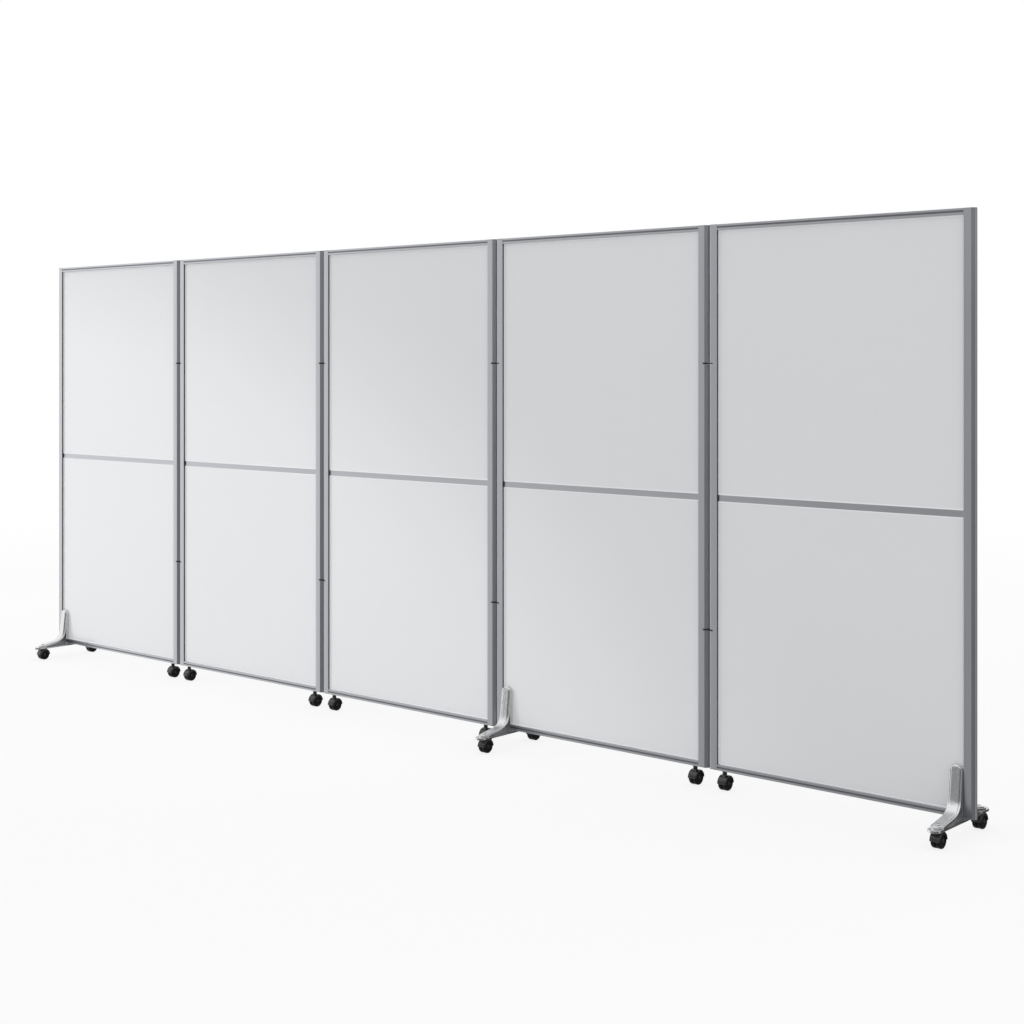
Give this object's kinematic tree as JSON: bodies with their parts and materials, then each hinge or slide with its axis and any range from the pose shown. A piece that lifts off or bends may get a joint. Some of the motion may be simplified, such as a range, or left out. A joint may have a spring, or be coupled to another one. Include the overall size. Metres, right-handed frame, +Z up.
{
  "type": "rolling partition",
  "caption": "Long folding room divider: framed white writing boards joined edge to edge by two-pivot hinges, on cast feet and twin-wheel casters.",
  "frame": {"origin": "on the floor, under the middle of the row of panels, halfway between its front and back", "axes": "+X along the straight row of panels, to the right as seen from the front; -Y out of the front; +Z up"},
  "size_m": [4.627, 0.344, 1.829],
  "materials": {
    "frame": "satin anodised extrusion",
    "board": "smooth glossy white writing surface",
    "foot": "polished casting",
    "hinge": "satin black",
    "caster_hood": "semi-gloss black moulding",
    "caster_wheel": "matte black moulding"
  },
  "bodies": {
    "panel_1": {"panel_1_left_stile": "frame", "panel_1_right_stile": "frame", "panel_1_top_rail": "frame", "panel_1_bottom_rail": "frame", "panel_1_board": "board", "left_foot": "foot"},
    "panel_2": {"panel_2_left_stile": "frame", "panel_2_right_stile": "frame", "panel_2_top_rail": "frame", "panel_2_bottom_rail": "frame", "panel_2_board": "board"},
    "panel_3": {"panel_3_left_stile": "frame", "panel_3_right_stile": "frame", "panel_3_top_rail": "frame", "panel_3_bottom_rail": "frame", "panel_3_board": "board"},
    "panel_4": {"panel_4_left_stile": "frame", "panel_4_right_stile": "frame", "panel_4_top_rail": "frame", "panel_4_bottom_rail": "frame", "panel_4_board": "board", "middle_foot": "foot"},
    "panel_5": {"panel_5_left_stile": "frame", "panel_5_right_stile": "frame", "panel_5_top_rail": "frame", "panel_5_bottom_rail": "frame", "panel_5_board": "board", "right_foot": "foot"},
    "hinge_3_4": {"hinge_3_4": "hinge"},
    "hinge_4_5": {"hinge_4_5": "hinge"},
    "hinge_2_3": {"hinge_2_3": "hinge"},
    "hinge_1_2": {"hinge_1_2": "hinge"},
    "left_foot_front_caster_swivel": {"left_foot_front_caster_housing": "caster_hood"},
    "left_foot_front_caster_rolling": {"left_foot_front_caster_wheels": "caster_wheel"},
    "left_foot_rear_caster_swivel": {"left_foot_rear_caster_housing": "caster_hood"},
    "left_foot_rear_caster_rolling": {"left_foot_rear_caster_wheels": "caster_wheel"},
    "panel_1_right_caster_swivel": {"panel_1_right_caster_housing": "caster_hood"},
    "panel_1_right_caster_rolling": {"panel_1_right_caster_wheels": "caster_wheel"},
    "panel_2_left_caster_swivel": {"panel_2_left_caster_housing": "caster_hood"},
    "panel_2_left_caster_rolling": {"panel_2_left_caster_wheels": "caster_wheel"},
    "panel_2_right_caster_swivel": {"panel_2_right_caster_housing": "caster_hood"},
    "panel_2_right_caster_rolling": {"panel_2_right_caster_wheels": "caster_wheel"},
    "panel_3_left_caster_swivel": {"panel_3_left_caster_housing": "caster_hood"},
    "panel_3_left_caster_rolling": {"panel_3_left_caster_wheels": "caster_wheel"},
    "panel_3_right_caster_swivel": {"panel_3_right_caster_housing": "caster_hood"},
    "panel_3_right_caster_rolling": {"panel_3_right_caster_wheels": "caster_wheel"},
    "middle_foot_front_caster_swivel": {"middle_foot_front_caster_housing": "caster_hood"},
    "middle_foot_front_caster_rolling": {"middle_foot_front_caster_wheels": "caster_wheel"},
    "middle_foot_rear_caster_swivel": {"middle_foot_rear_caster_housing": "caster_hood"},
    "middle_foot_rear_caster_rolling": {"middle_foot_rear_caster_wheels": "caster_wheel"},
    "panel_4_right_caster_swivel": {"panel_4_right_caster_housing": "caster_hood"},
    "panel_4_right_caster_rolling": {"panel_4_right_caster_wheels": "caster_wheel"},
    "panel_5_left_caster_swivel": {"panel_5_left_caster_housing": "caster_hood"},
    "panel_5_left_caster_rolling": {"panel_5_left_caster_wheels": "caster_wheel"},
    "right_foot_front_caster_swivel": {"right_foot_front_caster_housing": "caster_hood"},
    "right_foot_front_caster_rolling": {"right_foot_front_caster_wheels": "caster_wheel"},
    "right_foot_rear_caster_swivel": {"right_foot_rear_caster_housing": "caster_hood"},
    "right_foot_rear_caster_rolling": {"right_foot_rear_caster_wheels": "caster_wheel"}
  },
  "joints": [
    {"name": "hinge_3_4_on_panel_3", "type": "hinge", "parent": "panel_3", "child": "hinge_3_4", "pos_m": [0.4483, 0, 0.9465], "axis": [0, 0, 1], "range_deg": [-90, 90]},
    {"name": "panel_4_on_hinge_3_4", "type": "hinge", "parent": "hinge_3_4", "child": "panel_4", "pos_m": [0.4777, 0, 0.9465], "axis": [0, 0, -1], "range_deg": [-90, 90]},
    {"name": "hinge_4_5_on_panel_4", "type": "hinge", "parent": "panel_4", "child": "hinge_4_5", "pos_m": [1.3743, 0, 0.9465], "axis": [0, 0, 1], "range_deg": [-90, 90]},
    {"name": "panel_5_on_hinge_4_5", "type": "hinge", "parent": "hinge_4_5", "child": "panel_5", "pos_m": [1.4037, 0, 0.9465], "axis": [0, 0, -1], "range_deg": [-90, 90]},
    {"name": "hinge_2_3_on_panel_3", "type": "hinge", "parent": "panel_3", "child": "hinge_2_3", "pos_m": [-0.4483, 0, 0.9465], "axis": [0, 0, 1], "range_deg": [-90, 90]},
    {"name": "panel_2_on_hinge_2_3", "type": "hinge", "parent": "hinge_2_3", "child": "panel_2", "pos_m": [-0.4777, 0, 0.9465], "axis": [0, 0, -1], "range_deg": [-90, 90]},
    {"name": "hinge_1_2_on_panel_2", "type": "hinge", "parent": "panel_2", "child": "hinge_1_2", "pos_m": [-1.3743, 0, 0.9465], "axis": [0, 0, 1], "range_deg": [-90, 90]},
    {"name": "panel_1_on_hinge_1_2", "type": "hinge", "parent": "hinge_1_2", "child": "panel_1", "pos_m": [-1.4037, 0, 0.9465], "axis": [0, 0, -1], "range_deg": [-90, 90]},
    {"name": "left_foot_front_caster_swivels", "type": "hinge", "parent": "panel_1", "child": "left_foot_front_caster_swivel", "pos_m": [-2.2575, -0.132, 0.064], "axis": [0, 0, 1], "continuous": true},
    {"name": "left_foot_front_caster_rolls", "type": "hinge", "parent": "left_foot_front_caster_swivel", "child": "left_foot_front_caster_rolling", "pos_m": [-2.2575, -0.128, 0.0235], "axis": [1, 0, 0], "continuous": true},
    {"name": "left_foot_rear_caster_swivels", "type": "hinge", "parent": "panel_1", "child": "left_foot_rear_caster_swivel", "pos_m": [-2.2575, 0.132, 0.064], "axis": [0, 0, 1], "continuous": true},
    {"name": "left_foot_rear_caster_rolls", "type": "hinge", "parent": "left_foot_rear_caster_swivel", "child": "left_foot_rear_caster_rolling", "pos_m": [-2.2575, 0.136, 0.0235], "axis": [1, 0, 0], "continuous": true},
    {"name": "panel_1_right_caster_swivels", "type": "hinge", "parent": "panel_1", "child": "panel_1_right_caster_swivel", "pos_m": [-1.4465, 0, 0.064], "axis": [0, 0, 1], "continuous": true},
    {"name": "panel_1_right_caster_rolls", "type": "hinge", "parent": "panel_1_right_caster_swivel", "child": "panel_1_right_caster_rolling", "pos_m": [-1.4465, 0.004, 0.0235], "axis": [1, 0, 0], "continuous": true},
    {"name": "panel_2_left_caster_swivels", "type": "hinge", "parent": "panel_2", "child": "panel_2_left_caster_swivel", "pos_m": [-1.3315, 0, 0.064], "axis": [0, 0, 1], "continuous": true},
    {"name": "panel_2_left_caster_rolls", "type": "hinge", "parent": "panel_2_left_caster_swivel", "child": "panel_2_left_caster_rolling", "pos_m": [-1.3315, 0.004, 0.0235], "axis": [1, 0, 0], "continuous": true},
    {"name": "panel_2_right_caster_swivels", "type": "hinge", "parent": "panel_2", "child": "panel_2_right_caster_swivel", "pos_m": [-0.5205, 0, 0.064], "axis": [0, 0, 1], "continuous": true},
    {"name": "panel_2_right_caster_rolls", "type": "hinge", "parent": "panel_2_right_caster_swivel", "child": "panel_2_right_caster_rolling", "pos_m": [-0.5205, 0.004, 0.0235], "axis": [1, 0, 0], "continuous": true},
    {"name": "panel_3_left_caster_swivels", "type": "hinge", "parent": "panel_3", "child": "panel_3_left_caster_swivel", "pos_m": [-0.4055, 0, 0.064], "axis": [0, 0, 1], "continuous": true},
    {"name": "panel_3_left_caster_rolls", "type": "hinge", "parent": "panel_3_left_caster_swivel", "child": "panel_3_left_caster_rolling", "pos_m": [-0.4055, 0.004, 0.0235], "axis": [1, 0, 0], "continuous": true},
    {"name": "panel_3_right_caster_swivels", "type": "hinge", "parent": "panel_3", "child": "panel_3_right_caster_swivel", "pos_m": [0.4055, 0, 0.064], "axis": [0, 0, 1], "continuous": true},
    {"name": "panel_3_right_caster_rolls", "type": "hinge", "parent": "panel_3_right_caster_swivel", "child": "panel_3_right_caster_rolling", "pos_m": [0.4055, 0.004, 0.0235], "axis": [1, 0, 0], "continuous": true},
    {"name": "middle_foot_front_caster_swivels", "type": "hinge", "parent": "panel_4", "child": "middle_foot_front_caster_swivel", "pos_m": [0.5205, -0.132, 0.064], "axis": [0, 0, 1], "continuous": true},
    {"name": "middle_foot_front_caster_rolls", "type": "hinge", "parent": "middle_foot_front_caster_swivel", "child": "middle_foot_front_caster_rolling", "pos_m": [0.5205, -0.128, 0.0235], "axis": [1, 0, 0], "continuous": true},
    {"name": "middle_foot_rear_caster_swivels", "type": "hinge", "parent": "panel_4", "child": "middle_foot_rear_caster_swivel", "pos_m": [0.5205, 0.132, 0.064], "axis": [0, 0, 1], "continuous": true},
    {"name": "middle_foot_rear_caster_rolls", "type": "hinge", "parent": "middle_foot_rear_caster_swivel", "child": "middle_foot_rear_caster_rolling", "pos_m": [0.5205, 0.136, 0.0235], "axis": [1, 0, 0], "continuous": true},
    {"name": "panel_4_right_caster_swivels", "type": "hinge", "parent": "panel_4", "child": "panel_4_right_caster_swivel", "pos_m": [1.3315, 0, 0.064], "axis": [0, 0, 1], "continuous": true},
    {"name": "panel_4_right_caster_rolls", "type": "hinge", "parent": "panel_4_right_caster_swivel", "child": "panel_4_right_caster_rolling", "pos_m": [1.3315, 0.004, 0.0235], "axis": [1, 0, 0], "continuous": true},
    {"name": "panel_5_left_caster_swivels", "type": "hinge", "parent": "panel_5", "child": "panel_5_left_caster_swivel", "pos_m": [1.4465, 0, 0.064], "axis": [0, 0, 1], "continuous": true},
    {"name": "panel_5_left_caster_rolls", "type": "hinge", "parent": "panel_5_left_caster_swivel", "child": "panel_5_left_caster_rolling", "pos_m": [1.4465, 0.004, 0.0235], "axis": [1, 0, 0], "continuous": true},
    {"name": "right_foot_front_caster_swivels", "type": "hinge", "parent": "panel_5", "child": "right_foot_front_caster_swivel", "pos_m": [2.2575, -0.132, 0.064], "axis": [0, 0, 1], "continuous": true},
    {"name": "right_foot_front_caster_rolls", "type": "hinge", "parent": "right_foot_front_caster_swivel", "child": "right_foot_front_caster_rolling", "pos_m": [2.2575, -0.128, 0.0235], "axis": [1, 0, 0], "continuous": true},
    {"name": "right_foot_rear_caster_swivels", "type": "hinge", "parent": "panel_5", "child": "right_foot_rear_caster_swivel", "pos_m": [2.2575, 0.132, 0.064], "axis": [0, 0, 1], "continuous": true},
    {"name": "right_foot_rear_caster_rolls", "type": "hinge", "parent": "right_foot_rear_caster_swivel", "child": "right_foot_rear_caster_rolling", "pos_m": [2.2575, 0.136, 0.0235], "axis": [1, 0, 0], "continuous": true}
  ]
}
